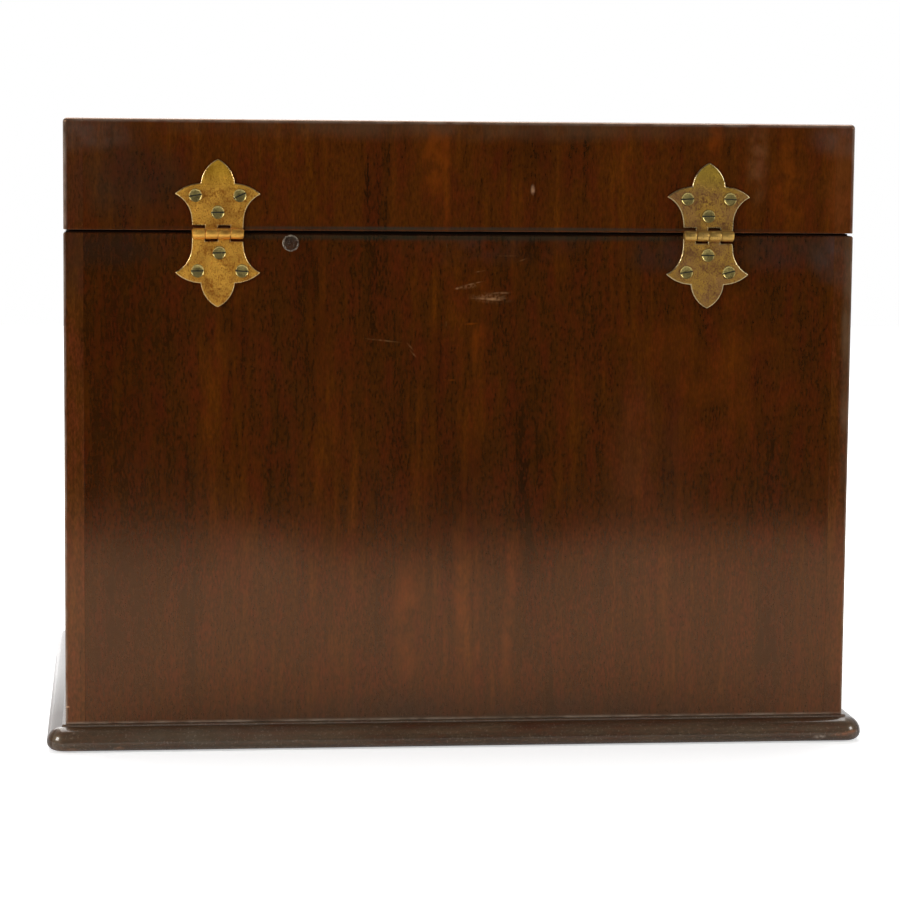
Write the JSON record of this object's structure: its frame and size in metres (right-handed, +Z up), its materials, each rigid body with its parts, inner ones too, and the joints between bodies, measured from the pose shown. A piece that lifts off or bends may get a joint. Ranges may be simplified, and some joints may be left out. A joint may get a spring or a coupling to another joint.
{
  "type": "silverware chest",
  "caption": "Mahogany silverware chest with a lift lid over a cloth-lined well, drawers below, brass hinges and a folding lid stay.",
  "frame": {"origin": "centre of the felt's underside, on the table", "axes": "+X to the right seen from the drawers, +Y to the hinged back, +Z up"},
  "size_m": [0.4252, 0.3182, 0.3226],
  "materials": {
    "mahogany": "satin lacquer",
    "drawer_wood": "plain planed",
    "silver_cloth": "napped cloth",
    "felt": "felt",
    "aged_brass": "tarnished",
    "screw_brass": "dull",
    "screw_steel": "plain",
    "clear_plastic": "clear"
  },
  "bodies": {
    "chest": {"base_felt": "felt", "base_board": "mahogany", "base_screws": "screw_steel", "left_side_panel": "mahogany", "right_side_panel": "mahogany", "back_panel": "mahogany", "well_front_rail": "mahogany", "well_floor": "drawer_wood", "drawer_divider": "mahogany", "drawer_stops": "drawer_wood", "well_lining": "silver_cloth", "well_front_rack": "silver_cloth", "well_rear_rack": "silver_cloth", "left_hinge_lower_leaf": "aged_brass", "right_hinge_lower_leaf": "aged_brass", "left_hinge_pin": "aged_brass", "right_hinge_pin": "aged_brass", "lower_leaf_screws": "screw_brass", "stay_body_bracket": "aged_brass", "stay_body_screws": "screw_brass", "clear_bumper": "clear_plastic"},
    "lid": {"lid_top_panel": "mahogany", "lid_left_rail": "mahogany", "lid_right_rail": "mahogany", "lid_front_rail": "mahogany", "lid_back_rail": "mahogany", "lid_lining": "silver_cloth", "lid_knife_racks": "silver_cloth", "left_hinge_upper_leaf": "aged_brass", "right_hinge_upper_leaf": "aged_brass", "upper_leaf_screws": "screw_brass", "stay_lid_bracket": "aged_brass", "stay_lid_screws": "screw_brass"},
    "stay_upper_arm": {"stay_upper_arm": "aged_brass"},
    "stay_lower_arm": {"stay_lower_arm": "aged_brass", "stay_elbow_rivet": "aged_brass"},
    "upper_drawer": {"upper_drawer_front": "mahogany", "upper_drawer_left_side": "drawer_wood", "upper_drawer_right_side": "drawer_wood", "upper_drawer_back": "drawer_wood", "upper_drawer_bottom": "drawer_wood", "upper_drawer_lining": "silver_cloth", "upper_drawer_partitions": "silver_cloth", "upper_pull_posts": "aged_brass", "upper_pull_nuts": "aged_brass"},
    "upper_left_bail": {"upper_left_bail": "aged_brass"},
    "upper_right_bail": {"upper_right_bail": "aged_brass"},
    "lower_drawer": {"lower_drawer_front": "mahogany", "lower_drawer_left_side": "drawer_wood", "lower_drawer_right_side": "drawer_wood", "lower_drawer_back": "drawer_wood", "lower_drawer_bottom": "drawer_wood", "lower_drawer_lining": "silver_cloth", "lower_pull_posts": "aged_brass", "lower_pull_nuts": "aged_brass"},
    "lower_left_bail": {"lower_left_bail": "aged_brass"},
    "lower_right_bail": {"lower_right_bail": "aged_brass"}
  },
  "joints": [
    {"name": "lid_hinge", "type": "hinge", "parent": "chest", "child": "lid", "pos_m": [0, 0.14905, 0.265], "axis": [-1, 0, 0], "range_deg": [0, 98]},
    {"name": "stay_upper_pivot", "type": "hinge", "parent": "lid", "child": "stay_upper_arm", "pos_m": [0.188, 0.09105, 0.291], "axis": [-1, 0, 0], "range_deg": [-98, 0]},
    {"name": "stay_lower_pivot", "type": "hinge", "parent": "chest", "child": "stay_lower_arm", "pos_m": [0.188, 0.10905, 0.239], "axis": [-1, 0, 0], "range_deg": [0, 98]},
    {"name": "lower_drawer_slide", "type": "slide", "parent": "chest", "child": "lower_drawer", "axis": [0, -1, 0], "range_m": [0, 0.2]},
    {"name": "lower_left_bail_swing", "type": "hinge", "parent": "lower_drawer", "child": "lower_left_bail", "pos_m": [-0.095, -0.158, 0.05305], "axis": [-1, 0, 0], "range_deg": [0, 95]},
    {"name": "lower_right_bail_swing", "type": "hinge", "parent": "lower_drawer", "child": "lower_right_bail", "pos_m": [0.095, -0.158, 0.05305], "axis": [-1, 0, 0], "range_deg": [0, 95]},
    {"name": "upper_drawer_slide", "type": "slide", "parent": "chest", "child": "upper_drawer", "axis": [0, -1, 0], "range_m": [0, 0.2]},
    {"name": "upper_left_bail_swing", "type": "hinge", "parent": "upper_drawer", "child": "upper_left_bail", "pos_m": [-0.095, -0.158, 0.14005], "axis": [-1, 0, 0], "range_deg": [0, 95]},
    {"name": "upper_right_bail_swing", "type": "hinge", "parent": "upper_drawer", "child": "upper_right_bail", "pos_m": [0.095, -0.158, 0.14005], "axis": [-1, 0, 0], "range_deg": [0, 95]}
  ],
  "couplings": [
    {"joint": "stay_upper_pivot", "follows": "lid_hinge", "ratio": -1},
    {"joint": "stay_lower_pivot", "follows": "lid_hinge", "ratio": 1}
  ]
}
